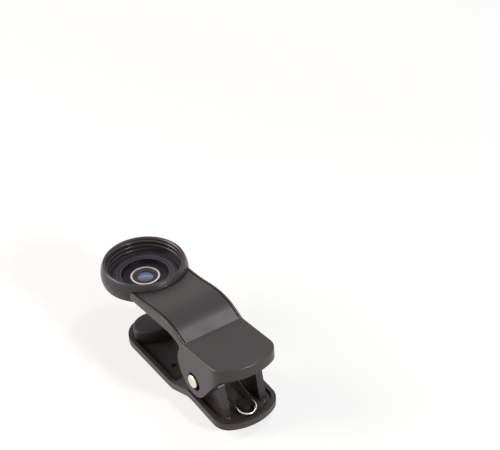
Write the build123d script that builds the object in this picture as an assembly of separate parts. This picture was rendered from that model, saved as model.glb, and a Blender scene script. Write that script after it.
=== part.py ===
from build123d import *
import math
import os

# Spring clip with a threaded collar that holds a small add-on lens.
# Millimetres. +X runs from the lens end to the finger handles, +Y across the clip, +Z up.
# The origin is the middle of the flat underside of the lower jaw, on which the clip rests.

# Shared widths
arm_width = 15.7
handle_bow_radius = 12.5
handle_corner_radius = 4.0

# Hinge
pin_radius = 1.6
pin_proud = 0.3
pin_end_round = 0.4
pin_height = 9.5
pin_running_gap = 0.05
pin_seat_gap = 0.02
side_gap = 0.3

# Opening of the jaws as stored, the thickness of what they grip, and the lean that it gives
phone_gap = 9.3
grip_height = 5.6
lean = 2.5

# Upper arm, measured from the pin axis in the arm's own level frame
ring_reach = 31.4
handle_reach = 12.8
plate_thickness = 1.7
cheek_wall = 1.9
flange_wall = 1.3
flange_depth = 2.3
flange_crest_slope = 0.12
skirt_wall = 1.4
skirt_depth = 2.9
plate_root_rise = 3.5
shoulder_reach = 19.4
shoulder_rise = 3.95
crest_reach = 9.0
crest_rise = 4.9
fold_reach = 2.8
fold_height = 8.25
fold_slope = 25.0
fold_round = 1.2
dive_reach = 5.6
hollow_step_reach = 7.5
handle_rise = 1.25
top_edge_round = 0.35
edge_groove_inset = 0.75
edge_groove_width = 0.3
edge_groove_depth = 0.3

# Outline of the cheek round the pin, and the front of the skirt
cheek_clearance = 0.97
cheek_front_reach = 3.9
cheek_front_drop = 1.2
cheek_neck_reach = 5.2
cheek_neck_rise = 4.9
cheek_back_reach = 4.5
cheek_back_drop = 1.1
cheek_top_inset = 2.9
cheek_top_rise = 5.85
skirt_front_inset = 1.5

# Pin hole in the cheeks, with a moulded relief that opens up and back from the pin
relief_radius = 2.2
relief_depth = 1.1
relief_shift_back = 0.65
relief_shift_up = 0.35

# Lens collar, measured from the grip plane
thread_radius = 8.75
thread_lead = 0.2
collar_wall = 0.75
collar_bulge = 0.6
collar_flare = 0.35
collar_top = 5.0
collar_rim_chamfer = 0.15
register_step = 0.25
register_depth = 0.6
lip_width = 2.75
lip_thickness = 0.4
collar_groove_width = 0.3
collar_groove_depth = 0.25

# Soft pads
ring_pad_thickness = 0.6
ring_pad_inset = 0.35
pad_seam = 0.15
jaw_pad_reach = 23.2
jaw_pad_bow_radius = 9.0
jaw_pad_corner_round = 0.8
jaw_pad_edge_round = 0.4

# Lens cell and what it holds
cell_gap = 0.05
cell_flange_height = 0.5
cell_edge_width = 1.1
cell_edge_drop = 0.3
cell_dish = 0.1
cell_cup_wall = 0.35
cell_cup_flare = 0.15
cell_base_height = 0.1
cell_floor = 0.3
glass_radius = 2.6
glass_edge = 0.15
glass_lap = 0.7
glass_dome = 0.25
stop_thickness = 0.1
trim_radius = 3.4
trim_width = 0.4
trim_height = 0.2
optic_gap = 0.02

# Lower arm
jaw_reach = 32.0
heel_reach = 9.2
jaw_corner_radius = 6.0
rim_height = 2.2
rim_wall = 1.0
floor_thickness = 1.0
handle_floor_thickness = 1.6
step_reach = 2.2
step_rise = 2.95
tail_drop = 0.85
step_round = 6.0
shelf_front = 8.8
shelf_back = 1.2
sole_edge_round = 0.6
eject_mark_radius = 0.7
eject_mark_depth = 0.4
eject_mark_reach = 14.6
eject_mark_side = 3.6

# Ears that carry the pin
ear_front = 3.2
ear_top_rise = 2.9
ear_back = 6.8
ear_back_rise = 2.4
ear_foot = 8.9
ear_nose_round = 2.8
ear_heel_round = 0.8
ear_nub_radius = 0.7
ear_nub_rise = 0.35

# Spring peg on the lower handle
peg_radius = 1.3
peg_loop_gap = 1.1
peg_height = 1.2
peg_slot_width = 0.5
peg_slot_depth = 0.35

# Double torsion spring
wire_diameter = 0.6
coil_radius = 2.3
coil_pitch = 0.62
coil_full_turns = 1
loop_radius = 2.05
loop_rim_gap = 0.4
free_leg_inset = 1.9
spring_side_gap = 0.3
spring_seat_gap = 0.3

half_width = arm_width / 2
cheek_inner = half_width - cheek_wall
ear_outer = cheek_inner - side_gap
wire_radius = wire_diameter / 2
collar_radius = thread_radius + collar_wall
register_radius = thread_radius - register_step
lip_radius = register_radius - lip_width
stop_radius = glass_radius - glass_lap
plate_root_height = grip_height + plate_root_rise
shoulder_height = grip_height + shoulder_rise
crest_height = grip_height + crest_rise
loop_reach = handle_reach - rim_wall - loop_rim_gap - wire_radius
peg_reach = loop_reach - wire_radius - peg_loop_gap - peg_radius
free_leg_reach = handle_reach - skirt_wall - free_leg_inset
pin_x = (jaw_reach + heel_reach) / 2
pin_axis = Pos(pin_x, 0, pin_height)
upper_place = pin_axis * Rot(0, -lean, 0)
ring_place = Pos(-ring_reach, 0, grip_height)
big = 60.0
hair = 0.01
upright = (Align.CENTER, Align.CENTER, Align.MIN)


def side(face, y_from, y_to):
    """Extrude a side view, drawn in X and Z, from one Y to another."""
    return Pos(0, y_from, 0) * extrude(Plane.XZ * face, -(y_to - y_from))


def polygon(*points):
    return make_face(Polyline(*points, close=True))


def turned(*points):
    """Revolve a half section, given as radius and height, about Z."""
    return revolve(Plane.XZ * polygon(*points), Axis.Z)


def tube(outer, inner, low, high):
    return turned((inner, low), (outer, low), (outer, high), (inner, high))


def arm_plan(front, rear, front_corner=0.0, inset=0.0):
    """Plan of an arm: straight sides, a bowed back end and round corners."""
    sag = handle_bow_radius - math.sqrt(handle_bow_radius**2 - half_width**2)
    corner_x = rear - sag
    face = make_face(
        [
            Line((front, -half_width), (corner_x, -half_width)),
            ThreePointArc((corner_x, -half_width), (rear, 0), (corner_x, half_width)),
            Line((corner_x, half_width), (front, half_width)),
            Line((front, half_width), (front, -half_width)),
        ]
    )
    back_corners = face.vertices().filter_by_position(Axis.X, corner_x - hair, corner_x + hair)
    face = fillet(back_corners, handle_corner_radius)
    if front_corner:
        front_corners = face.vertices().filter_by_position(Axis.X, front - hair, front + hair)
        face = fillet(front_corners, front_corner)
    if inset:
        face = offset(face, -inset)
    return face


# Upper arm

slope = math.tan(math.radians(fold_slope))
handle_slope = handle_rise / (handle_reach + fold_reach)


def handle_height(x):
    """Height of the top face of the finger plate at a distance x behind the pin."""
    return fold_height + (x + fold_reach) * handle_slope


def plate_top(drop=0.0):
    """The top line of the arm: arched jaw, short dive, rounded fold and finger plate."""
    root = (-ring_reach, plate_root_height - drop)
    shoulder = (-shoulder_reach, shoulder_height - drop)
    crest = (-crest_reach, crest_height - drop)
    dive = (-dive_reach, fold_height + (dive_reach - fold_reach) * slope - drop)
    fold = (-fold_reach, fold_height - drop)
    back = (handle_reach, fold_height + handle_rise - drop)
    arch = Spline(root, shoulder, crest, dive, tangents=[(1, 0), (1, -slope)])
    return [arch] + list(FilletPolyline(dive, fold, back, radius=fold_round).edges())


def arm_side_view():
    """Outer side view of the arm: jaw flange, cheek round the pin and rear skirt."""
    rear_top = (handle_reach, handle_height(handle_reach))
    rear_low = (handle_reach, handle_height(handle_reach) - skirt_depth)
    skirt_reach = handle_reach - skirt_front_inset
    skirt_front = (skirt_reach, handle_height(skirt_reach) - skirt_depth)
    cheek_top = (handle_reach - cheek_top_inset, cheek_top_rise)
    back = (cheek_back_reach, -cheek_back_drop)
    low = (0, sole_height(0) + rim_height + cheek_clearance - pin_height)
    front = (-cheek_front_reach, -cheek_front_drop)
    neck = (-cheek_neck_reach, cheek_neck_rise)
    flange_crest = (-crest_reach, crest_height - flange_depth)
    flange_root = (-ring_reach, plate_root_height - flange_depth)
    back_way = (back[0] - cheek_top[0], back[1] - cheek_top[1])
    return make_face(
        plate_top()
        + [
            Line(rear_top, rear_low),
            Line(rear_low, skirt_front),
            Spline(skirt_front, cheek_top, tangents=[(-1, -handle_slope), back_way]),
            Line(cheek_top, back),
            Spline(back, low, front, neck, flange_crest, tangents=[back_way, (-1, flange_crest_slope)]),
            Line(flange_crest, flange_root),
            Line(flange_root, (-ring_reach, plate_root_height)),
        ]
    )


def is_top_edge(edge):
    """True for the rim of the arm's top face, along both sides and round the back."""
    middle = edge @ 0.5
    across = abs(middle.Y) < hair and middle.X < handle_reach - hair
    height_off = min(line.distance_to(Vector(middle.X, middle.Z)) for line in plate_top())
    return height_off < hair / 10 and not across


def make_upper_arm():
    outline = extrude(arm_plan(-ring_reach, handle_reach), big, both=True)
    arm = side(arm_side_view(), -half_width, half_width) & outline
    arm = fillet(arm.edges().filter_by(is_top_edge), top_edge_round)
    arm -= make_arm_hollow()
    for sign in (-1, 1):
        y = sign * (half_width - edge_groove_inset)
        arm -= side(edge_groove_face(), y - edge_groove_width / 2, y + edge_groove_width / 2)
    bore = ring_place * Cylinder(thread_radius + thread_lead, big)
    moat_inner = collar_radius + collar_bulge
    moat_floor = plate_root_height - grip_height - collar_groove_depth
    moat = ring_place * tube(moat_inner + collar_groove_width, moat_inner, moat_floor, collar_top + 1)
    arm = arm - bore - moat + make_collar()
    for sign in (-1, 1):
        arm -= make_pin_hole(sign)
    return arm


def make_arm_hollow():
    """The open underside: under the jaw plate, between the cheeks and inside the rear skirt."""
    below = -big
    under = make_face(
        plate_top(plate_thickness)
        + [
            Polyline(
                (handle_reach, fold_height + handle_rise - plate_thickness),
                (handle_reach, below),
                (-ring_reach, below),
                (-ring_reach, plate_root_height - plate_thickness),
            )
        ]
    )
    back = arm_plan(-ring_reach, handle_reach, inset=skirt_wall) & Rectangle(2 * big, 2 * cheek_inner)
    jaw = Pos(-hollow_step_reach - big / 2, 0, 0) * Rectangle(big, 2 * (half_width - flange_wall))
    space = extrude(back + jaw, big, both=True)
    return side(under, -half_width, half_width) & space


def edge_groove_face():
    """Side view of the thin groove that follows each edge of the jaw plate down to the fold."""
    upper = plate_top()[:2]
    lower = plate_top(edge_groove_depth)[:2]
    return make_face(upper + lower + [Line(upper[0] @ 0, lower[0] @ 0), Line(upper[1] @ 1, lower[1] @ 1)])


def make_pin_hole(sign):
    """Pin hole through one cheek, with the relief in its outer face."""
    turn = Rot(-90 * sign, 0, 0)
    hole = turn * Cylinder(pin_radius + pin_running_gap, half_width + 1, align=upright)
    relief = Pos(0, 0, half_width - relief_depth) * Cylinder(relief_radius, 2 * relief_depth, align=upright)
    return hole + Pos(relief_shift_back, 0, relief_shift_up) * turn * relief


def make_collar():
    """Collar for a lens: bulged outside, with a plain thread bore, a register for the cell and a lip."""
    low = ring_pad_thickness
    seat = low + lip_thickness
    thread_foot = seat + register_depth
    top = collar_top
    middle = (low + top) / 2
    wall = make_face(
        [
            Line((lip_radius, low), (collar_radius + collar_flare, low)),
            ThreePointArc((collar_radius + collar_flare, low), (collar_radius + collar_bulge, middle),
                          (collar_radius, top - collar_rim_chamfer)),
            Line((collar_radius, top - collar_rim_chamfer), (collar_radius - collar_rim_chamfer, top)),
            Line((collar_radius - collar_rim_chamfer, top), (thread_radius + thread_lead, top)),
            Line((thread_radius + thread_lead, top), (thread_radius, top - thread_lead)),
            Line((thread_radius, top - thread_lead), (thread_radius, thread_foot)),
            Line((thread_radius, thread_foot), (register_radius, thread_foot)),
            Line((register_radius, thread_foot), (register_radius, seat)),
            Line((register_radius, seat), (lip_radius, seat)),
            Line((lip_radius, seat), (lip_radius, low)),
        ]
    )
    return ring_place * revolve(Plane.XZ * wall, Axis.Z)


def make_ring_pad():
    """Soft ring under the collar, which presses on what is gripped."""
    return ring_place * tube(collar_radius - ring_pad_inset, lip_radius, 0, ring_pad_thickness)


# Lens cell, in the ring's own frame with the grip plane at height 0

cell_seat = ring_pad_thickness + lip_thickness
cell_radius = register_radius - cell_gap
cell_face = cell_seat + cell_flange_height
cup_radius = lip_radius - cell_gap
cup_inner = cup_radius - cell_cup_wall
floor_top = cell_base_height + cell_floor
glass_top = cell_base_height + glass_edge + optic_gap


def make_lens_cell():
    """Screwed-in cell: a low edge, a raised shelf, a deep cup and a bore for the glass."""
    edge_face = cell_face - cell_edge_drop
    return ring_place * turned(
        (cup_radius, cell_base_height),
        (cup_radius, cell_seat),
        (cell_radius, cell_seat),
        (cell_radius, edge_face),
        (cell_radius - cell_edge_width, edge_face),
        (cell_radius - cell_edge_width, cell_face),
        (cup_inner + cell_cup_flare, cell_face - cell_dish),
        (cup_inner, floor_top),
        (stop_radius + optic_gap, floor_top),
        (stop_radius + optic_gap, glass_top),
        (glass_radius + optic_gap, glass_top),
        (glass_radius + optic_gap, cell_base_height),
    )


def make_lens_glass():
    """Small plano-convex lens, flat side down."""
    ball_radius = (stop_radius**2 + glass_dome**2) / (2 * glass_dome)
    top = glass_edge + glass_dome
    ball = Pos(0, 0, top - ball_radius) * Sphere(ball_radius)
    dome = Cylinder(stop_radius, top, align=upright) & ball
    disc = Cylinder(glass_radius, glass_edge, align=upright)
    return ring_place * Pos(0, 0, cell_base_height) * (disc + dome)


def make_stop_ring():
    """Thin black ring that stops the lens down, on the floor of the cell."""
    return ring_place * tube(trim_radius, stop_radius, floor_top, floor_top + stop_thickness)


def make_trim_ring():
    """Bright retaining ring on the stop."""
    low = floor_top + stop_thickness
    return ring_place * tube(trim_radius, trim_radius - trim_width, low, low + trim_height)


# Lower arm, in the part's own frame with X measured from the pin

def sole_line(lift=0.0):
    """The underside: flat jaw, rounded step up and finger plate, raised by a lift."""
    return FilletPolyline(
        (-jaw_reach, lift),
        (-heel_reach, lift),
        (-step_reach, step_rise + lift),
        (handle_reach, step_rise - tail_drop + lift),
        radius=step_round,
    )


def sole_height(x):
    """Height of the finger plate's underside at a distance x behind the pin."""
    return step_rise - tail_drop * (x + step_reach) / (handle_reach + step_reach)


def band(low, high):
    """Side view between two raised copies of the underside line."""
    lower = sole_line(low)
    upper = sole_line(high)
    return make_face([lower, upper, Line(lower @ 0, upper @ 0), Line(lower @ 1, upper @ 1)])


def tray_plan(inset=0.0):
    return arm_plan(-jaw_reach, handle_reach, front_corner=jaw_corner_radius, inset=inset)


# Spring, in a frame with the pin axis as its origin

spring_floor = sole_height(loop_reach) + handle_floor_thickness
loop_drop = pin_height - spring_floor - spring_seat_gap - wire_radius
seat_rise = handle_height(free_leg_reach) - plate_thickness - spring_seat_gap - wire_radius


def leg_angle(reach, height):
    """Slope, in radians, of a straight leg from the coil to a point at a reach and a height."""
    return math.atan2(height, reach) - math.asin(coil_radius / math.hypot(reach, height))


loop_leg_slope = leg_angle(loop_reach, loop_drop)
free_leg_slope = leg_angle(free_leg_reach, seat_rise) + math.radians(lean)
coil_slope = math.atan(coil_pitch / (2 * math.pi * coil_radius))
coil_turns = coil_full_turns + 0.5 - (loop_leg_slope + free_leg_slope) / (2 * math.pi)

# The loop lies in the plane of the two lower legs, in which the coil starts at distance 0
loop_centre = math.sqrt(loop_reach**2 + loop_drop**2 - coil_radius**2) - loop_radius
shoulder_run = loop_centre + loop_radius * math.sin(coil_slope)
shoulder_y = loop_radius * math.cos(coil_slope)
coil_y = shoulder_y + shoulder_run * math.tan(coil_slope)
free_y = coil_y + coil_pitch * coil_turns
ear_inner = free_y + wire_radius + spring_side_gap


def make_torsion_spring():
    """One wire: a free leg, a coil, the loop round the peg, a coil and a free leg."""
    start = Vector(-math.sin(loop_leg_slope), 0, -math.cos(loop_leg_slope)) * coil_radius
    way = Vector(math.cos(loop_leg_slope), 0, -math.sin(loop_leg_slope))
    shoulder = start + way * shoulder_run + Vector(0, shoulder_y, 0)
    other_shoulder = start + way * shoulder_run - Vector(0, shoulder_y, 0)
    tip = start + way * (loop_centre + loop_radius)

    free_run = math.sqrt(free_leg_reach**2 + seat_rise**2 - coil_radius**2)
    free_side = Vector(-math.sin(free_leg_slope), 0, math.cos(free_leg_slope))
    free_way = Vector(math.cos(free_leg_slope), math.tan(coil_slope), math.sin(free_leg_slope))
    free_start = free_side * coil_radius + Vector(0, free_y, 0)
    free_end = free_start + free_way * free_run
    coil = Helix(coil_pitch, coil_pitch * coil_turns, coil_radius)
    coil = Pos(0, coil_y, 0) * Rot(-90, 0, 0) * Rot(0, 0, math.degrees(loop_leg_slope) - 270) * coil
    half = [
        Line(shoulder, start + Vector(0, coil_y, 0)),
        coil,
        Line(free_start, free_end),
    ]
    loop = ThreePointArc(shoulder, tip, other_shoulder)
    pieces = [loop] + half + [mirror(curve, Plane.XZ) for curve in half]
    path = Wire([piece.edge() for piece in pieces])
    section = Plane(path @ 0, z_dir=path % 0) * Circle(wire_radius)
    return pin_axis * sweep(section, path=path)


# Mouldings of the lower arm and its pad

def make_lower_arm():
    arm = side(band(0, rim_height), -half_width, half_width) & extrude(tray_plan(), big, both=True)
    sole = arm.faces().sort_by(Axis.Z)[0]
    arm = fillet(sole.edges().filter_by(Axis.X), sole_edge_round)
    tray = extrude(tray_plan(rim_wall), big, both=True)
    jaw = Pos(-shelf_front - big / 2, 0, 0) * Box(big, arm_width, 2 * big)
    handle = Pos(-shelf_back + big / 2, 0, 0) * Box(big, arm_width, 2 * big)
    arm -= side(band(floor_thickness, big), -half_width, half_width) & tray & jaw
    arm -= side(band(handle_floor_thickness, big), -half_width, half_width) & tray & handle
    for sign in (-1, 1):
        arm += make_ear(sign)
    arm += make_peg()
    mark = Pos(-eject_mark_reach, -eject_mark_side, floor_thickness)
    arm -= mark * Cylinder(eject_mark_radius, 2 * eject_mark_depth)
    return Pos(pin_x, 0, 0) * arm


def make_ear(sign):
    """One ear beside the cheek: round nose, level top and a steep back edge with a nub at its foot."""
    base = sole_height(-step_reach) + floor_thickness / 2
    top = pin_height + ear_top_rise
    view = polygon(
        (-ear_front, base),
        (-ear_front, top),
        (ear_back, pin_height + ear_back_rise),
        (ear_foot, sole_height(ear_foot) + handle_floor_thickness / 2),
    )
    nose = view.vertices().sort_by(Axis.X)[:2].sort_by(Axis.Y)[-1:]
    heel = view.vertices().sort_by(Axis.Y)[-2:].sort_by(Axis.X)[-1:]
    view = fillet(nose, ear_nose_round)
    view = fillet(heel, ear_heel_round)
    near, far = sorted((sign * ear_inner, sign * ear_outer))
    hole = Pos(0, 0, pin_height) * Rot(90, 0, 0) * Cylinder(pin_radius + pin_seat_gap, 2 * big)
    nub_centre = sole_height(ear_foot) + handle_floor_thickness + ear_nub_rise - ear_nub_radius
    nub = Pos(ear_foot, sign * (ear_inner + ear_nub_radius), nub_centre) * Sphere(ear_nub_radius)
    return side(view, near, far) + nub - hole


def make_peg():
    """Round peg inside the spring's loop, with a shallow slot across its top."""
    base = sole_height(peg_reach) + handle_floor_thickness / 2
    top = sole_height(peg_reach) + handle_floor_thickness + peg_height
    peg = Cylinder(peg_radius, top - base, align=upright)
    slot = Pos(0, 0, top - base) * Box(peg_slot_width, 3 * peg_radius, 2 * peg_slot_depth)
    return Pos(peg_reach, 0, base) * (peg - slot)


def make_jaw_pad():
    """Soft block in the tray, its top level with the underside of what is gripped."""
    bow = Pos(-jaw_pad_reach - jaw_pad_bow_radius, 0) * Circle(jaw_pad_bow_radius)
    plan = tray_plan(rim_wall + pad_seam) & bow
    block = Pos(pin_x, 0, floor_thickness) * extrude(plan, phone_gap)
    block = fillet(block.edges().filter_by(Axis.Z).sort_by(Axis.X)[-2:], jaw_pad_corner_round)
    gripped = Pos(-ring_reach, 0, grip_height - phone_gap) * Box(big, big, big, align=upright)
    pad = block - upper_place * gripped
    return fillet(pad.faces().sort_by(Axis.Z)[-1].edges(), jaw_pad_edge_round)


def make_hinge_pin():
    pin = Cylinder(pin_radius, arm_width + 2 * pin_proud)
    pin = fillet(pin.edges().filter_by(GeomType.CIRCLE), pin_end_round)
    return pin_axis * Rot(90, 0, 0) * pin


parts = {
    "upper_arm": (make_upper_arm, upper_place),
    "ring_pad": (make_ring_pad, upper_place),
    "lens_cell": (make_lens_cell, upper_place),
    "lens_glass": (make_lens_glass, upper_place),
    "stop_ring": (make_stop_ring, upper_place),
    "trim_ring": (make_trim_ring, upper_place),
    "lower_arm": (make_lower_arm, None),
    "jaw_pad": (make_jaw_pad, None),
    "hinge_pin": (make_hinge_pin, None),
    "torsion_spring": (make_torsion_spring, None),
}

if __name__ == "__main__":
    os.makedirs("parts", exist_ok=True)
    for name, (make, place) in parts.items():
        solid = make() if place is None else place * make()
        export_step(solid, f"parts/{name}.step")
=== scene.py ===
# %% [markdown]
# # A clip-on lens
#
# The clip is two moulded arms on a steel pin, held together by a wire spring. The front of the
# upper arm is a threaded collar with a small lens cell in it.
# The solids come from the CAD model. This lesson gives them their finishes, and makes the
# pieces that CAD leaves plain: the wire, the thread and the soft pads.

# %% Load the frame
import math

import bmesh
import bpy
import numpy as np
from mathutils import Matrix, Vector


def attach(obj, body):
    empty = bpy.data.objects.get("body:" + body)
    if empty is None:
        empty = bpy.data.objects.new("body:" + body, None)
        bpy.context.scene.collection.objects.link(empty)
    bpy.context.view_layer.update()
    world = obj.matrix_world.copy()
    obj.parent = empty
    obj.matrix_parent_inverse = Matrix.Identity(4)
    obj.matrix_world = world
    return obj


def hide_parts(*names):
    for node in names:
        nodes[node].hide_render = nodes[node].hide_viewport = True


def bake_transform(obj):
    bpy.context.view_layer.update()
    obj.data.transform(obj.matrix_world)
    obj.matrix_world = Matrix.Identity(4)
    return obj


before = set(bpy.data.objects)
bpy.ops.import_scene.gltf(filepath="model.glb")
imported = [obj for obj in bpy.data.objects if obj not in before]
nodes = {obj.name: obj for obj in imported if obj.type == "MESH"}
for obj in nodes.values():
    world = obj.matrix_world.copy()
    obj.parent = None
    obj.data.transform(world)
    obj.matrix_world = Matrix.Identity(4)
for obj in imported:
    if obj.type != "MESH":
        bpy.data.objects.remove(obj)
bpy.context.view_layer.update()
print("nodes:", sorted(nodes))

# %% [markdown]
# ## Sizes that the pieces share
#
# Blender works in metres, and `MM` turns a size in millimetres into metres. The pin and the
# lens axis are the two lines that the new pieces are built round. The upper arm leans back a
# little, so the lens axis leans with it. The grip plane is the one that the ring pad presses
# on, and the lens axis stands on it.

# %% Shared sizes
MM = 0.001
LEAN = math.radians(2.5)
PIN = np.array([20.6, 0.0, 9.5])
RING_REACH = 31.4
GRIP_HEIGHT = 5.6


def upper(points):
    """Points of the upper arm, in millimetres from the pin in the arm's own level frame,
    turned by the lean about the pin and put in the model's place, in metres."""
    x, y, z = np.moveaxis(np.asarray(points, float), -1, 0)
    turned = np.stack(
        [x * math.cos(LEAN) - z * math.sin(LEAN), y, x * math.sin(LEAN) + z * math.cos(LEAN)],
        axis=-1,
    )
    return (turned + PIN) * MM


def ring(radius, angle, height):
    """A point at a radius and an angle round the lens axis, at a height over the grip plane."""
    return upper(
        np.stack(
            [
                radius * np.cos(angle) - RING_REACH,
                radius * np.sin(angle),
                height + GRIP_HEIGHT + 0.0 * angle,
            ],
            axis=-1,
        )
    )


lens_middle = ring(0.0, np.zeros(1), 0.0)[0]
print("lens axis meets the grip plane at", (lens_middle / MM).round(2), "mm")

# %% [markdown]
# ## A mesh from arrays
#
# Each new surface is a function of two parameters. It is worked out on a grid as one array,
# and the faces are found from the grid's own numbering, so there is no loop over vertices.
# A grid can close on itself either way round, and its open ends can be closed with a cap.

# %% Grid to mesh
def grid_mesh(name, grid, wrap_u=False, wrap_v=False, caps=False):
    """A smooth mesh from a grid of points with shape (rows, columns, 3).
    Each face joins a point with its neighbours in the next row and the next column, and all
    faces are turned to look outwards."""
    rows, columns = grid.shape[:2]
    number = np.arange(rows * columns).reshape(rows, columns)
    if wrap_u:
        number = np.vstack([number, number[:1]])
    if wrap_v:
        number = np.hstack([number, number[:, :1]])
    faces = np.stack(
        [number[:-1, :-1], number[1:, :-1], number[1:, 1:], number[:-1, 1:]], axis=-1
    ).reshape(-1, 4)
    faces = faces.tolist()
    if caps:
        faces += [list(range(columns))[::-1], list(range((rows - 1) * columns, rows * columns))]
    mesh = bpy.data.meshes.new(name)
    mesh.from_pydata(grid.reshape(-1, 3).tolist(), [], faces)
    mesh.validate()
    shell = bmesh.new()
    shell.from_mesh(mesh)
    bmesh.ops.recalc_face_normals(shell, faces=shell.faces)
    shell.to_mesh(mesh)
    shell.free()
    mesh.polygons.foreach_set("use_smooth", np.ones(len(mesh.polygons), bool))
    piece = bpy.data.objects.new(name, mesh)
    bpy.context.scene.collection.objects.link(piece)
    return piece


# %% [markdown]
# ## Colour and nodes
#
# Colours are written as sRGB hex values, as a picture shows them. Shaders work in linear
# light, so one function turns them over. Two more set a node's inputs and add a node, and
# every material below is built with them.

# %% Colour helper
def linear(code):
    """An sRGB hex value as linear red, green, blue and alpha: low values are divided by 12.92,
    and the others are shifted, scaled and raised to the power 2.4."""
    parts = np.array([int(code[i : i + 2], 16) for i in (1, 3, 5)]) / 255
    light = np.where(parts <= 0.04045, parts / 12.92, ((parts + 0.055) / 1.055) ** 2.4)
    return (*light.tolist(), 1.0)


WHITE = linear("#ffffff")
print("a middle grey, #808080, is", round(linear("#808080")[0], 3), "in linear light")

# %% Node helpers
# The Mix node has its two colours at inputs 6 and 7, and the mixed colour at output 2.
COLOUR_A, COLOUR_B, MIXED = 6, 7, 2
# Noise runs from 0 to 1, but nearly all of it lies between these two.
NOISE_LOW, NOISE_HIGH = 0.3, 0.7


def join(tree, node, sockets):
    """Gives each input of a node, by name or number, a value or a link from an output."""
    for key, value in sockets.items():
        if isinstance(value, bpy.types.NodeSocket):
            tree.links.new(value, node.inputs[key])
        else:
            node.inputs[key].default_value = value


def add(tree, kind, sockets=None, **settings):
    """Adds a node of a kind, with its own properties as settings, and joins its inputs."""
    node = tree.nodes.new("ShaderNode" + kind)
    for key, value in settings.items():
        setattr(node, key, value)
    join(tree, node, sockets or {})
    return node


def new_material(name):
    """An empty material with its Principled shader and the object's own coordinates."""
    material = bpy.data.materials.new(name)
    material.use_nodes = True
    tree = material.node_tree
    shader = tree.nodes["Principled BSDF"]
    place = add(tree, "TexCoord").outputs["Object"]
    return material, tree, shader, place


def per_mm(count):
    """A texture scale, in repeats per metre, that gives this many repeats per millimetre."""
    return count / MM


def dress(name, material):
    """Gives a CAD node its finish."""
    slots = nodes[name].data.materials
    slots.clear()
    slots.append(material)
    print(name, "is finished in", material.name)


# %% [markdown]
# ## Moulded ABS for the arms
#
# The arms are dark warm grey ABS from a spark-eroded mould. Such a mould leaves a fine satin
# grain of about 0.1 mm, which spreads the highlights, and the plastic's colour drifts a
# little where it flowed. Handling polishes it in soft patches. Painted textures could show
# this, but noise on the object's own coordinates needs no pictures and has no seams. The
# grain is drawn at 0.16 mm, a bit coarser than real, so that it still shows.

# %% Moulded ABS
GRAIN_MM = 0.16
FLOW_PER_MM = 0.09
TOUCH_PER_MM = 0.16
ABS_DEEP, ABS_PALE = "#2a2526", "#322c2d"


def moulded_abs(name, roughness):
    """Plastic whose colour and gloss drift with two slow noises, over a fine bumpy grain."""
    material, tree, shader, place = new_material(name)
    flow = add(
        tree,
        "TexNoise",
        {"Vector": place, "Scale": per_mm(FLOW_PER_MM), "Detail": 3.0, "Roughness": 0.55},
    )
    colour = add(
        tree,
        "Mix",
        {"Factor": flow.outputs["Fac"], COLOUR_A: linear(ABS_DEEP), COLOUR_B: linear(ABS_PALE)},
        data_type="RGBA",
    )
    touch = add(tree, "TexNoise", {"Vector": place, "Scale": per_mm(TOUCH_PER_MM), "Detail": 4.0})
    gloss = add(
        tree,
        "MapRange",
        {
            "Value": touch.outputs["Fac"],
            "From Min": NOISE_LOW,
            "From Max": NOISE_HIGH,
            "To Min": roughness - 0.03,
            "To Max": roughness + 0.04,
        },
    )
    grain = add(
        tree,
        "TexNoise",
        {"Vector": place, "Scale": per_mm(1 / GRAIN_MM), "Detail": 2.0, "Roughness": 0.6},
    )
    relief = add(
        tree, "Bump", {"Height": grain.outputs["Fac"], "Strength": 0.18, "Distance": 0.02 * MM}
    )
    join(
        tree,
        shader,
        {
            "Base Color": colour.outputs[MIXED],
            "Roughness": gloss.outputs[0],
            "Normal": relief.outputs[0],
            "IOR": 1.53,
            "Specular IOR Level": 0.32,
        },
    )
    return material


arm_abs = moulded_abs("moulded_abs_warm_grey", 0.35)
for name in ("upper_arm", "lower_arm"):
    dress(name, arm_abs)

# %% [markdown]
# ## Drawn steel for the pin
#
# The pin is cut from drawn steel bar, so its side has faint lines along its length, and its
# domed end is turned, with fine rings round the middle. The rings are a sine of the distance
# from the pin's axis. The lines are noise stretched along the pin. Both are drawn at over
# 0.1 mm, coarser than real, so that the bright end doesn't look like a flat white disc.

# %% Drawn steel pin
PIN_RING_MM = 0.12
DRAW_LINE_MM = 0.15
DRAW_STRETCH = 0.06


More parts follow.
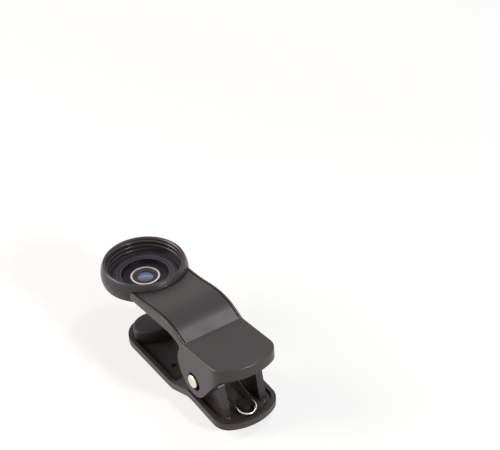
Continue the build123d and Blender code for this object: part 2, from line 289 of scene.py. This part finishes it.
def drawn_steel():
    """Bright steel with rings on its end and lines along its side, in height, gloss and tone."""
    material, tree, shader, place = new_material("drawn_steel_pin")
    centred = add(tree, "Mapping", {"Vector": place, "Location": tuple(-PIN * MM)})
    apart = add(tree, "SeparateXYZ", {"Vector": centred.outputs[0]})
    flat = add(tree, "CombineXYZ", {"X": apart.outputs["X"], "Z": apart.outputs["Z"]})
    radius = add(tree, "VectorMath", {0: flat.outputs[0]}, operation="LENGTH")
    phase = per_mm(1 / PIN_RING_MM) * 2 * math.pi
    rings = add(tree, "Math", {0: radius.outputs["Value"], 1: phase}, operation="MULTIPLY")
    wave = add(tree, "Math", {0: rings.outputs[0]}, operation="SINE")
    stretched = add(tree, "Mapping", {"Vector": place, "Scale": (1.0, DRAW_STRETCH, 1.0)})
    lines = add(
        tree,
        "TexNoise",
        {"Vector": stretched.outputs[0], "Scale": per_mm(1 / DRAW_LINE_MM), "Detail": 3.0},
    )
    both = add(
        tree,
        "Math",
        {0: wave.outputs[0], 1: 0.25, 2: lines.outputs["Fac"]},
        operation="MULTIPLY_ADD",
    )
    relief = add(
        tree, "Bump", {"Height": both.outputs[0], "Strength": 0.5, "Distance": 0.02 * MM}
    )
    gloss = add(
        tree,
        "MapRange",
        {
            "Value": lines.outputs["Fac"],
            "From Min": NOISE_LOW,
            "From Max": NOISE_HIGH,
            "To Min": 0.2,
            "To Max": 0.34,
        },
    )
    streak = add(tree, "MapRange", {"Value": both.outputs[0], "From Min": 0.2, "From Max": 0.8})
    colour = add(
        tree,
        "Mix",
        {"Factor": streak.outputs[0], COLOUR_A: linear("#d3ccc1"), COLOUR_B: linear("#f3ece2")},
        data_type="RGBA",
    )
    join(
        tree,
        shader,
        {
            "Base Color": colour.outputs[MIXED],
            "Metallic": 1.0,
            "Roughness": gloss.outputs[0],
            "Normal": relief.outputs[0],
        },
    )
    return material


dress("hinge_pin", drawn_steel())

# %% [markdown]
# ## Nickel plate for the spring
#
# The spring is music wire with a thin coat of nickel. The draw lines are too fine to see one
# by one, and the plate softens them, so there is no relief: what the eye gets is a warm,
# bright metal whose tone and gloss drift over a few millimetres.

# %% Nickel-plated wire
STAIN_PER_MM = 0.5


def plated_wire():
    """Bright metal whose colour and gloss follow one slow noise."""
    material, tree, shader, place = new_material("nickel_plated_wire")
    stain = add(tree, "TexNoise", {"Vector": place, "Scale": per_mm(STAIN_PER_MM), "Detail": 3.0})
    colour = add(
        tree,
        "Mix",
        {"Factor": stain.outputs["Fac"], COLOUR_A: linear("#cfc9bb"), COLOUR_B: linear("#e6e2d8")},
        data_type="RGBA",
    )
    gloss = add(
        tree,
        "MapRange",
        {
            "Value": stain.outputs["Fac"],
            "From Min": NOISE_LOW,
            "From Max": NOISE_HIGH,
            "To Min": 0.16,
            "To Max": 0.28,
        },
    )
    join(
        tree,
        shader,
        {"Base Color": colour.outputs[MIXED], "Roughness": gloss.outputs[0], "Metallic": 1.0},
    )
    return material


wire_plate = plated_wire()
print("the wire's finish is", wire_plate.name)

# %% [markdown]
# ## The torsion spring
#
# One wire makes a free leg, a coil, a loop round the peg, and the same again mirrored. A
# curve object with a round bevel could draw it, but its path would be a list of points. Here
# it is a few straight runs, two helices and an arc, each worked out as an array, and a circle
# is carried along them.
# The coils turn about the pin.

# %% Spring path
WIRE_RADIUS = 0.3
COIL_RADIUS = 2.3
COIL_PITCH = 0.62
LOOP_RADIUS = 2.05
# Reach and rise from the pin of the loop's tip and of a free leg's end
LOOP_TIP = np.array([11.1, -5.104])
FREE_END = np.array([9.5, 6.936])
LOOP_POINTS, LEG_POINTS, COIL_POINTS = 28, 24, 96


def slope_of(reach, height):
    """Slope of a straight leg that leaves the coil as a tangent and ends at a reach and height:
    the slope of the line from the pin to the end, less the angle whose sine is the coil's
    radius over that line's length."""
    return math.atan2(height, reach) - math.asin(COIL_RADIUS / math.hypot(reach, height))


def spring_half():
    """Points of the +Y half of the wire, from the loop's tip to the free end, in millimetres
    from the pin. The loop is a quarter circle, the legs are straight and tangent to the coil,
    and the coil climbs in Y by its pitch in each turn."""
    down = slope_of(LOOP_TIP[0], -LOOP_TIP[1])
    up = slope_of(*FREE_END) + LEAN
    spread = math.atan(COIL_PITCH / (2 * math.pi * COIL_RADIUS))
    turn = 3 * math.pi - (down + up)
    centre = math.sqrt(LOOP_TIP @ LOOP_TIP - COIL_RADIUS**2) - LOOP_RADIUS
    run = centre + LOOP_RADIUS * math.sin(spread)
    coil_y = LOOP_RADIUS * math.cos(spread) + run * math.tan(spread)
    start = np.array([-math.sin(down), 0, -math.cos(down)]) * COIL_RADIUS
    way = np.array([math.cos(down), 0, -math.sin(down)])
    across = np.array([0.0, 1.0, 0.0])

    bend = np.linspace(math.pi / 2, spread, LOOP_POINTS)[:-1, None]
    outwards = way * (centre + LOOP_RADIUS * np.sin(bend))
    loop = start + outwards + across * LOOP_RADIUS * np.cos(bend)
    leg = np.linspace(0, 1, LEG_POINTS)[:-1, None]
    shoulder = start + way * run + across * LOOP_RADIUS * math.cos(spread)
    lower_leg = shoulder + leg * (start + across * coil_y - shoulder)
    angle = np.linspace(0, turn, COIL_POINTS)
    position = 1.5 * math.pi - down - angle
    coil = np.stack(
        [
            COIL_RADIUS * np.cos(position),
            coil_y + COIL_PITCH * angle / (2 * math.pi),
            COIL_RADIUS * np.sin(position),
        ],
        axis=1,
    )
    free_way = np.array([math.cos(up), math.tan(spread), math.sin(up)])
    free_run = math.sqrt(FREE_END @ FREE_END - COIL_RADIUS**2)
    free_leg = coil[-1] + np.linspace(0, 1, LEG_POINTS)[1:, None] * free_way * free_run
    return np.vstack([loop, lower_leg, coil, free_leg])


half = spring_half()
wire_path = np.vstack([half[:0:-1], half * [1, -1, 1]])
wire_length = np.linalg.norm(np.diff(wire_path, axis=0), axis=1).sum()
print("spring wire is", round(float(wire_length), 1), "mm long")

# %% Circle carried along a path
def carried_circle(path, radii, sides):
    """Rings of points round a path: at each point, two axes at right angles to the path span a
    circle of that radius. The axes are carried from point to point by the smallest turn."""
    way = np.gradient(path, axis=0)
    way /= np.linalg.norm(way, axis=1)[:, None]
    axis = np.cross(way[0], [0.0, 0.0, 1.0])
    axis /= np.linalg.norm(axis)
    first = np.empty_like(path)
    for i, direction in enumerate(way):
        axis = axis - direction * (axis @ direction)
        axis /= np.linalg.norm(axis)
        first[i] = axis
    second = np.cross(way, first)
    turn = np.linspace(0, 2 * math.pi, sides, endpoint=False)
    circle = np.cos(turn)[:, None] * first[:, None] + np.sin(turn)[:, None] * second[:, None]
    return path[:, None] + radii[:, None, None] * circle


# %% Spring wire
# Each cut end gets one more ring, a little smaller, which takes off its sharp edge.
END_ROUND = 0.1
END_STEP = 0.02
WIRE_SIDES = 16

ends = wire_path[[0, -1]] + (wire_path[[0, -1]] - wire_path[[1, -2]]) * END_STEP
wire_path = np.vstack([ends[:1], wire_path, ends[1:]])
radii = np.full(len(wire_path), WIRE_RADIUS)
radii[[0, -1]] -= END_ROUND
wire_skin = (carried_circle(wire_path, radii, WIRE_SIDES) + PIN) * MM
wire = grid_mesh("spring_wire", wire_skin, wrap_v=True, caps=True)
wire.data.materials.append(wire_plate)
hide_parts("torsion_spring")
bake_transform(wire)
print("spring:", len(wire.data.polygons), "faces")

# %% [markdown]
# ## The thread in the collar
#
# The collar takes a lens by a coarse moulded thread. A ridge with sloping flanks runs round
# the bore on a helix. It could be a boolean of a coil and the bore, but a ridge worked out on
# its own is cleaner: the six corners of its cut are carried round the lens axis while they
# climb, and the ridge dies away into the wall at both ends.
# The core that moulds a thread is polished, so that the part can be screwed off it. The ridge
# is the arms' ABS with a glossier skin, and it catches thin bright lines.

# %% Thread ridge
BORE_RADIUS = 8.75
RIDGE_DEPTH = 0.36
RIDGE_PITCH = 1.15
RIDGE_LOW, RIDGE_HIGH = 1.8, 4.45
RIDGE_FOOT, RIDGE_CREST = 0.5, 0.16
RIDGE_SUNK = 0.05
THREAD_START = 2.2
THREAD_STEPS = 240
RUN_OUT = math.radians(35)
LEAST_RIDGE = 0.02


def thread_ridge():
    """The ridge's cut carried on a helix: its angle grows evenly, its height grows by the pitch
    in each turn, and its depth is the full one times the angle left to the nearer end over
    the run-out, held between a hair and one. The cut goes in from a foot sunk in the wall,
    through a shoulder at 0.85 of its depth, to a flat crest."""
    turns = (RIDGE_HIGH - RIDGE_LOW) / RIDGE_PITCH
    angle = np.linspace(0, 2 * math.pi * turns, THREAD_STEPS)
    middle = RIDGE_LOW + RIDGE_PITCH * angle / (2 * math.pi)
    fade = np.clip(np.minimum(angle, angle[-1] - angle) / RUN_OUT, LEAST_RIDGE, 1.0)
    corner_in = np.array([0.0, 0.0, 0.85, 1.0, 1.0, 0.85])
    shoulder = RIDGE_CREST * 1.5
    corner_up = np.array([-RIDGE_FOOT, RIDGE_FOOT, shoulder, RIDGE_CREST, -RIDGE_CREST, -shoulder])
    radius = BORE_RADIUS + RIDGE_SUNK - fade[:, None] * (RIDGE_DEPTH + RIDGE_SUNK) * corner_in
    print("thread:", round(turns, 2), "turns")
    return ring(radius, THREAD_START + angle[:, None] + 0 * radius, middle[:, None] + corner_up)


ridge = grid_mesh("collar_thread", thread_ridge(), wrap_v=True, caps=True)
ridge.data.materials.append(moulded_abs("moulded_abs_off_polished_core", 0.24))
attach(ridge, "upper")
print("thread:", len(ridge.data.polygons), "faces")

# %% [markdown]
# ## Rubber for the soft pads
#
# The pads are moulded thermoplastic rubber, matt and near black, so that they don't mark what
# they grip. The eye gets hardly any highlight, a faint bloom of dust, and a skin like fine
# leather. That skin is drawn at 0.2 mm, about twice as coarse as real.

# %% Matt rubber
DUST_PER_MM = 0.35
SKIN_MM = 0.2


def matt_rubber():
    """Rubber whose tone follows a slow noise, with a fine noise as its relief."""
    material, tree, shader, place = new_material("matt_thermoplastic_rubber")
    dust = add(tree, "TexNoise", {"Vector": place, "Scale": per_mm(DUST_PER_MM), "Detail": 5.0})
    colour = add(
        tree,
        "Mix",
        {"Factor": dust.outputs["Fac"], COLOUR_A: linear("#191617"), COLOUR_B: linear("#221f20")},
        data_type="RGBA",
    )
    skin = add(tree, "TexNoise", {"Vector": place, "Scale": per_mm(1 / SKIN_MM), "Detail": 2.0})
    relief = add(
        tree, "Bump", {"Height": skin.outputs["Fac"], "Strength": 0.3, "Distance": 0.03 * MM}
    )
    join(
        tree,
        shader,
        {
            "Base Color": colour.outputs[MIXED],
            "Normal": relief.outputs[0],
            "Roughness": 0.62,
            "IOR": 1.5,
        },
    )
    return material


rubber = matt_rubber()
print("the pads' finish is", rubber.name)

# %% [markdown]
# ## The ring pad
#
# A soft washer is glued under the collar. A bevel on the plain solid would round its edges,
# but a rubber part has no flat left between them: the whole cut is one curve. A superellipse
# gives that, and it is carried round the lens axis.

# %% Ring pad
PAD_INNER, PAD_OUTER = 5.75, 9.15
PAD_THICK = 0.6
SQUARENESS = 5.0
RING_STEPS, CUT_STEPS = 160, 48


def swelled_ring():
    """A ring round the lens axis whose cut is a superellipse: the cosine and sine of the way
    round the cut, each raised to 2 / SQUARENESS, give a rectangle with full round corners."""
    round_axis = np.linspace(0, 2 * math.pi, RING_STEPS, endpoint=False)[:, None]
    round_cut = np.linspace(0, 2 * math.pi, CUT_STEPS, endpoint=False)[None, :]
    power = 2 / SQUARENESS
    out = np.sign(np.cos(round_cut)) * np.abs(np.cos(round_cut)) ** power
    up = np.sign(np.sin(round_cut)) * np.abs(np.sin(round_cut)) ** power
    radius = (PAD_INNER + PAD_OUTER) / 2 + (PAD_OUTER - PAD_INNER) / 2 * out
    height = PAD_THICK / 2 * (1 + up)
    return ring(radius + 0 * round_axis, round_axis + 0 * radius, height + 0 * round_axis)


ring_pad = grid_mesh("soft_ring_pad", swelled_ring(), wrap_u=True, wrap_v=True)
ring_pad.data.materials.append(rubber)
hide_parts("ring_pad")
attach(ring_pad, "upper")
print("ring pad:", len(ring_pad.data.polygons), "faces")

# %% [markdown]
# ## The jaw pad
#
# A soft block fills the front of the lower jaw's tray. Its outline is the tray's wall in front
# and a shallow bow behind, and its top leans with the grip. The block is made as rows of
# points that go out along the underside, up the side and in over the top, so that the foot,
# the bulging side and the round brow are one smooth skin.

# %% Outline of the jaw pad
TRAY_FRONT, TRAY_SIDE, TRAY_CORNER = -30.85, 6.7, 4.85
BOW_MIDDLE, BOW_RADIUS = -32.2, 9.0
PAD_MIDDLE = -27.2
CORNER_BLEND = 0.12
TINY = 1e-6


def circle_reach(way_x, way_y, middle_x, middle_y, radius):
    """How far a ray from the pad's middle runs until it leaves a circle: the distance along the
    ray to the point beside the circle's middle, and half the chord on from there."""
    along = way_x * (middle_x - PAD_MIDDLE) + way_y * middle_y
    off = (middle_x - PAD_MIDDLE) ** 2 + middle_y**2 - radius**2
    return along + np.sqrt(np.maximum(along**2 - off, 0.0))


def pad_reach(angle):
    """Distance from the pad's middle to its outline in each direction: the nearer of the tray's
    wall and the bowed rear, with the corner between them rounded by a smooth minimum, which is
    minus the blend times the log of the sum of the two falling exponentials."""
    way_x, way_y = np.cos(angle), np.sin(angle)
    front = (TRAY_FRONT - PAD_MIDDLE) / np.minimum(way_x, -TINY)
    side = TRAY_SIDE / np.maximum(np.abs(way_y), TINY)
    corner_y = (TRAY_SIDE - TRAY_CORNER) * np.sign(way_y)
    corner_x = TRAY_FRONT + TRAY_CORNER
    corner = circle_reach(way_x, way_y, corner_x, corner_y, TRAY_CORNER)
    square = np.minimum(front, side)
    x, y = PAD_MIDDLE + square * way_x, square * way_y
    in_corner = (x < corner_x) & (np.abs(y) > TRAY_SIDE - TRAY_CORNER)
    wall = np.where(in_corner, np.minimum(corner, square), square)
    bow = circle_reach(way_x, way_y, BOW_MIDDLE, 0.0, BOW_RADIUS)
    return -CORNER_BLEND * np.log(np.exp(-wall / CORNER_BLEND) + np.exp(-bow / CORNER_BLEND))


front_reach = float(pad_reach(np.array([math.pi]))[0])
print("jaw pad reaches", round(front_reach, 2), "mm forward from its middle")

# %% Skin of the jaw pad
PAD_FLOOR = 1.0
GRIPPED_FACE = -3.7
FOOT_ROUND, BROW_ROUND = 0.15, 0.5
SIDE_BULGE, PAD_CROWN = 0.07, 0.1
PAD_SPOKES, SPOKE_STEPS, ROUND_STEPS, SIDE_STEPS = 144, 8, 9, 13
SPOKE_FROM, SPOKE_TO = 0.04, 0.9


def swelled_block():
    """The pad as rows from the middle of its underside, out, up its side and in over its top.
    Each row has a share of the outline's reach, an inset, a share of the side's height and a
    rise. The feet and brows are quarter circles, the side bulges as a parabola, and the top
    follows the gripped face and falls by a crown towards its edge."""
    angle = np.linspace(0, 2 * math.pi, PAD_SPOKES, endpoint=False)[None, :]
    spoke = np.linspace(SPOKE_FROM, SPOKE_TO, SPOKE_STEPS)
    quarter = np.linspace(0, math.pi / 2, ROUND_STEPS)
    wall = np.linspace(0, 1, SIDE_STEPS)[1:]
    brow = quarter[1:]
    underside = [spoke, 0 * spoke, 0 * spoke, 0 * spoke]
    foot = [
        0 * quarter + 1,
        SIDE_BULGE + FOOT_ROUND * (1 - np.sin(quarter)),
        0 * quarter,
        FOOT_ROUND * (1 - np.cos(quarter)),
    ]
    side_wall = [0 * wall + 1, SIDE_BULGE * (2 * wall - 1) ** 2, wall, FOOT_ROUND * (1 - wall)]
    brow_round = [
        0 * brow + 1,
        SIDE_BULGE + BROW_ROUND * (1 - np.cos(brow)),
        0 * brow + 1,
        BROW_ROUND * np.sin(brow),
    ]
    inwards = spoke[::-1]
    top = [inwards, (SIDE_BULGE + BROW_ROUND) * inwards, 0 * spoke + 1, 0 * spoke + BROW_ROUND]
    rows = np.concatenate([np.stack(r) for r in (underside, foot, side_wall, brow_round, top)], 1)
    share, inset, side, rise = rows[:, :, None]
    reach = pad_reach(angle) * share - inset
    x, y = PAD_MIDDLE + reach * np.cos(angle), reach * np.sin(angle)
    gripped = PIN[2] + x * math.tan(LEAN) + GRIPPED_FACE / math.cos(LEAN)
    crown = PAD_CROWN * share**2 * (rise > FOOT_ROUND)
    height = PAD_FLOOR + side * (gripped - BROW_ROUND - PAD_FLOOR) + rise - crown
    return np.stack([x + PIN[0], y, height], axis=-1) * MM


jaw_pad = grid_mesh("soft_jaw_pad", swelled_block(), wrap_v=True, caps=True)
jaw_pad.data.materials.append(rubber)
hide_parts("jaw_pad")
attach(jaw_pad, "lower")
print("jaw pad:", len(jaw_pad.data.polygons), "faces")

# %% [markdown]
# ## Turned metal for the lens cell
#
# The cell and its two rings are turned on a lathe, so light catches on fine rings round the
# lens axis. A picture of rings would have to be laid on each face. The distance from the lens
# axis gives them on every face at once, because all three pieces share that axis. The feed of
# 0.1 mm is drawn at 0.2 mm on the dark pieces, so that it shows.

# %% Distance from the lens axis
# The way across the lens in which the painted reflection in the glass fades from blue to green
REFLECTION_FADE_WAY = (0.83, -0.56, 0.0)


def lens_radius(tree, place):
    """The distance of a point from the lens axis, and its distance across the lens in one
    direction: the point is moved to the lens and turned level by the lean, and the first is the
    length of what is left of it in the ring's own plane."""
    moved = add(tree, "Mapping", {"Vector": place, "Location": tuple(-lens_middle)})
    level = add(
        tree, "VectorRotate", {"Vector": moved.outputs[0], "Angle": LEAN}, rotation_type="Y_AXIS"
    )
    apart = add(tree, "SeparateXYZ", {"Vector": level.outputs[0]})
    flat = add(tree, "CombineXYZ", {"X": apart.outputs["X"], "Y": apart.outputs["Y"]})
    radius = add(tree, "VectorMath", {0: flat.outputs[0]}, operation="LENGTH")
    across = add(
        tree, "VectorMath", {0: flat.outputs[0], 1: REFLECTION_FADE_WAY}, operation="DOT_PRODUCT"
    )
    return radius.outputs["Value"], across.outputs["Value"]


def ring_wave(tree, radius, ring_mm):
    """A sine that makes one wave in each ring of this width round the lens axis."""
    phase = per_mm(1 / ring_mm) * 2 * math.pi
    rings = add(tree, "Math", {0: radius, 1: phase}, operation="MULTIPLY")
    return add(tree, "Math", {0: rings.outputs[0]}, operation="SINE").outputs[0]


# %% Turned metal
WEAR_PER_MM = 0.4


def turned_metal(name, tone, metallic, roughness, ring_mm, strength):
    """Metal with turning rings in its relief and a gloss that drifts with wear. It gives back
    the material, its tree and shader, and the distance from the lens axis, for more work."""
    material, tree, shader, place = new_material(name)
    radius, _ = lens_radius(tree, place)
    wave = ring_wave(tree, radius, ring_mm)
    relief = add(tree, "Bump", {"Height": wave, "Strength": strength, "Distance": 0.01 * MM})
    wear = add(tree, "TexNoise", {"Vector": place, "Scale": per_mm(WEAR_PER_MM), "Detail": 4.0})
    gloss = add(
        tree,
        "MapRange",
        {
            "Value": wear.outputs["Fac"],
            "From Min": NOISE_LOW,
            "From Max": NOISE_HIGH,
            "To Min": roughness - 0.06,
            "To Max": roughness + 0.06,
        },
    )
    join(
        tree,
        shader,
        {
            "Base Color": linear(tone),
            "Metallic": metallic,
            "Roughness": gloss.outputs[0],
            "Normal": relief.outputs[0],
            "Specular IOR Level": 0.3,
        },
    )
    return material, tree, shader, radius


# %% [markdown]
# ## Black anodised cell, blackened stop, bright ring
#
# The cell is black anodised aluminium. The dye covers the metal, so the eye gets a dark satin
# skin with a violet tinge, and the shader is not metallic. The shallow steps from the turning
# tool on the dished floor, one in 0.9 mm, are painted as lighter and darker rings: painted
# highlights and painted shade. The cup in its middle is painted near black, as painted shade
# in the hole. The stop ring is blackened. The ring that holds the glass is bare metal.

# %% Lens cell with painted shade in its cup
CUP_EDGE = 5.55
EDGE_BLUR = 0.05
STEP_MM = 0.9

cell_finish, tree, shader, radius = turned_metal(
    "black_anodised_aluminium", "#37333a", 0.0, 0.45, 0.2, 0.5
)
# Inside CUP_EDGE the cup is painted near black: painted shade in the hole.
cup_shade_share = add(
    tree,
    "MapRange",
    {"Value": radius, "From Min": (CUP_EDGE - EDGE_BLUR) * MM, "From Max": CUP_EDGE * MM},
)
# Lighter and darker rings, one in STEP_MM, are painted highlights and painted shade of the turning
# steps.
steps = ring_wave(tree, radius, STEP_MM)
step_light_share = add(tree, "MapRange", {"Value": steps, "From Min": -0.2, "From Max": 0.9})
painted_step_light = add(
    tree,
    "Mix",
    {"Factor": step_light_share.outputs[0], COLOUR_A: linear("#2c2930"), COLOUR_B: linear("#46424a")},
    data_type="RGBA",
)
colour = add(
    tree,
    "Mix",
    {"Factor": cup_shade_share.outputs[0], COLOUR_A: linear("#100915"), COLOUR_B: painted_step_light.outputs[MIXED]},
    data_type="RGBA",
)
join(tree, shader, {"Base Color": colour.outputs[MIXED]})
dress("lens_cell", cell_finish)
dress("stop_ring", turned_metal("blackened_stop", "#30312d", 0.0, 0.5, 0.2, 0.2)[0])
dress("trim_ring", turned_metal("bright_turned_aluminium", "#ddd6ca", 1.0, 0.3, 0.1, 0.2)[0])

# %% [markdown]
# ## Coated glass
#
# The lens is polished optical glass with an anti-reflection coating. Its tint is a painted
# reflection in the coating: blue over most of the lens and a dull green towards the near side,
# where the painted reflection fades. A thin film and real reflections could be simulated, but a
# colour that changes across the lens gives the same sight. Most of the light is kept at the
# surface, so the glass reads as tinted and not as a hole, and a clear coat gives it a sharp
# highlight.

# %% Coated glass
REFLECTION_FADE_FROM, REFLECTION_FADE_TO = -0.1, 1.0


def coated_glass():
    """Partly clear glass whose tint, a painted reflection, goes from blue to green with the distance
    across it.
    """
    material, tree, shader, place = new_material("coated_optical_glass")
    _, across = lens_radius(tree, place)
    reflection_fade = add(
        tree,
        "MapRange",
        {"Value": across, "From Min": REFLECTION_FADE_FROM * MM, "From Max": REFLECTION_FADE_TO * MM},
    )
    # Painted reflection: blue where it is strong, dull green towards the near side where it fades.
    colour = add(
        tree,
        "Mix",
        {"Factor": reflection_fade.outputs[0], COLOUR_A: linear("#748ab8"), COLOUR_B: linear("#4e5c60")},
        data_type="RGBA",
    )
    join(
        tree,
        shader,
        {
            "Base Color": colour.outputs[MIXED],
            "Roughness": 0.04,
            "IOR": 1.52,
            "Transmission Weight": 0.35,
            "Coat Weight": 0.6,
            "Coat Roughness": 0.03,
        },
    )
    return material


dress("lens_glass", coated_glass())

# %% [markdown]
# ## White paper under and behind
#
# A product shot stands on white paper that sweeps up behind. A real sweep needs a curved
# sheet and a strong light. Here the floor is flat and glows for the rays that the eye sees,
# and the glow grows with the distance until floor and background are one white. Near the
# object the paper keeps enough of its own shading for a soft shadow. Rays that only light the
# object see no glow, so that it doesn't wash out the dark plastic.

# %% Rays that see the background
def seen_directly(tree):
    """One for a ray from the camera, off a gloss or through glass, and nought for the rays that
    only light the object: the largest of the three answers of the light path."""
    rays = add(tree, "LightPath").outputs
    gloss_or_glass = add(
        tree, "Math", {0: rays["Is Glossy Ray"], 1: rays["Is Transmission Ray"]}, operation="MAXIMUM"
    )
    either = add(
        tree, "Math", {0: rays["Is Camera Ray"], 1: gloss_or_glass.outputs[0]}, operation="MAXIMUM"
    )
    return either.outputs[0]


# %% Floor
FLOOR_HALF = 1.5
GLOW_FROM, GLOW_TO = 0.06, 0.4
NEAR_GLOW, FAR_GLOW = 0.7, 1.0

floor_mesh = bpy.data.meshes.new("floor")
corners = np.array([[-1, -1, 0], [1, -1, 0], [1, 1, 0], [-1, 1, 0]], float) * FLOOR_HALF
floor_mesh.from_pydata(corners.tolist(), [], [(0, 1, 2, 3)])
floor = bpy.data.objects.new("floor", floor_mesh)
bpy.context.scene.collection.objects.link(floor)
paper, tree, shader, place = new_material("white_paper_sweep")
join(tree, shader, {"Base Color": linear("#f4f3f1"), "Roughness": 0.9})
glow = add(tree, "Emission", {"Color": WHITE, "Strength": 1.0})
far = add(tree, "VectorMath", {0: place}, operation="LENGTH")
fade = add(
    tree,
    "MapRange",
    {
        "Value": far.outputs["Value"],
        "From Min": GLOW_FROM,
        "From Max": GLOW_TO,
        "To Min": NEAR_GLOW,
        "To Max": FAR_GLOW,
    },
    interpolation_type="SMOOTHSTEP",
)
share = add(tree, "Math", {0: seen_directly(tree), 1: fade.outputs[0]}, operation="MULTIPLY")
sweep = add(tree, "MixShader", {0: share.outputs[0], 1: shader.outputs[0], 2: glow.outputs[0]})
join(tree, tree.nodes["Material Output"], {"Surface": sweep.outputs[0]})
floor_mesh.materials.append(paper)
print("floor is", 2 * FLOOR_HALF, "m wide")

# %% World
# The world is white where it is seen, and a dim fill where it only lights the object.
FILL = 0.17

world = bpy.data.worlds.new("studio")
bpy.context.scene.world = world
world.use_nodes = True
tree = world.node_tree
dim = tree.nodes["Background"]
join(tree, dim, {"Color": WHITE, "Strength": FILL})
bright = add(tree, "Background", {"Color": WHITE, "Strength": 1.0})
which = add(
    tree, "MixShader", {0: seen_directly(tree), 1: dim.outputs[0], 2: bright.outputs[0]}
)
join(tree, tree.nodes["World Output"], {"Surface": which.outputs[0]})
print("world lights the object at", FILL)

# %% [markdown]
# ## Three lamps
#
# The key is a large, slightly warm panel in front on the left, and it shades the cheek and
# the collar softly. A small lamp high behind draws the streak on the slope of the upper arm.
# A second small one, lower and beyond the handles, lifts the skirt, the rim and the peg
# between them. Both are small, so that their reflections stay narrow.

# %% Lamps
AIM = Vector((5, 0, 10)) * MM


def soft_light(name, place_mm, size_mm, watts, tint="#ffffff"):
    """A square area light at a place, turned towards the clip."""
    lamp = bpy.data.lights.new(name, "AREA")
    lamp.shape = "SQUARE"
    lamp.size = size_mm * MM
    lamp.energy = watts
    lamp.color = linear(tint)[:3]
    holder = bpy.data.objects.new(name, lamp)
    place = Vector(place_mm) * MM
    turn = (AIM - place).to_track_quat("-Z", "Y").to_matrix().to_4x4()
    holder.matrix_world = Matrix.Translation(place) @ turn
    bpy.context.scene.collection.objects.link(holder)
    print(name, "light:", watts, "W from", round((AIM - place).length / MM), "mm")


soft_light("key", (-260, -380, 240), 300, 3.45, "#fff9f3")
soft_light("top", (20, 220, 445), 60, 0.52)
soft_light("edge", (400, 110, 230), 60, 1.7)

# %% [markdown]
# ## Camera
#
# The picture is taken from above the handles with a long lens, which keeps the perspective
# flat. The camera's place, its turn in degrees and its lens were solved from known lengths in
# the photograph, so that the clip falls on the same pixels. The view transform is Standard,
# so that the colours come out as they are written.

# %% Camera
CAMERA_PLACE = (256.04, -147.64, 263.81)
CAMERA_TURN = (52.237, 1.232, 55.536)
FOCAL_MM, SENSOR_MM = 123.33, 36.0
NEAREST, FARTHEST = 0.01, 10.0

camera = bpy.data.cameras.new("camera")
camera.lens = FOCAL_MM
camera.sensor_width = SENSOR_MM
camera.clip_start = NEAREST
camera.clip_end = FARTHEST
holder = bpy.data.objects.new("camera", camera)
holder.location = Vector(CAMERA_PLACE) * MM
holder.rotation_euler = [math.radians(a) for a in CAMERA_TURN]
bpy.context.scene.collection.objects.link(holder)
bpy.context.scene.camera = holder
bpy.context.scene.view_settings.view_transform = "Standard"
print("camera is", round((holder.location - AIM).length / MM), "mm from the clip")
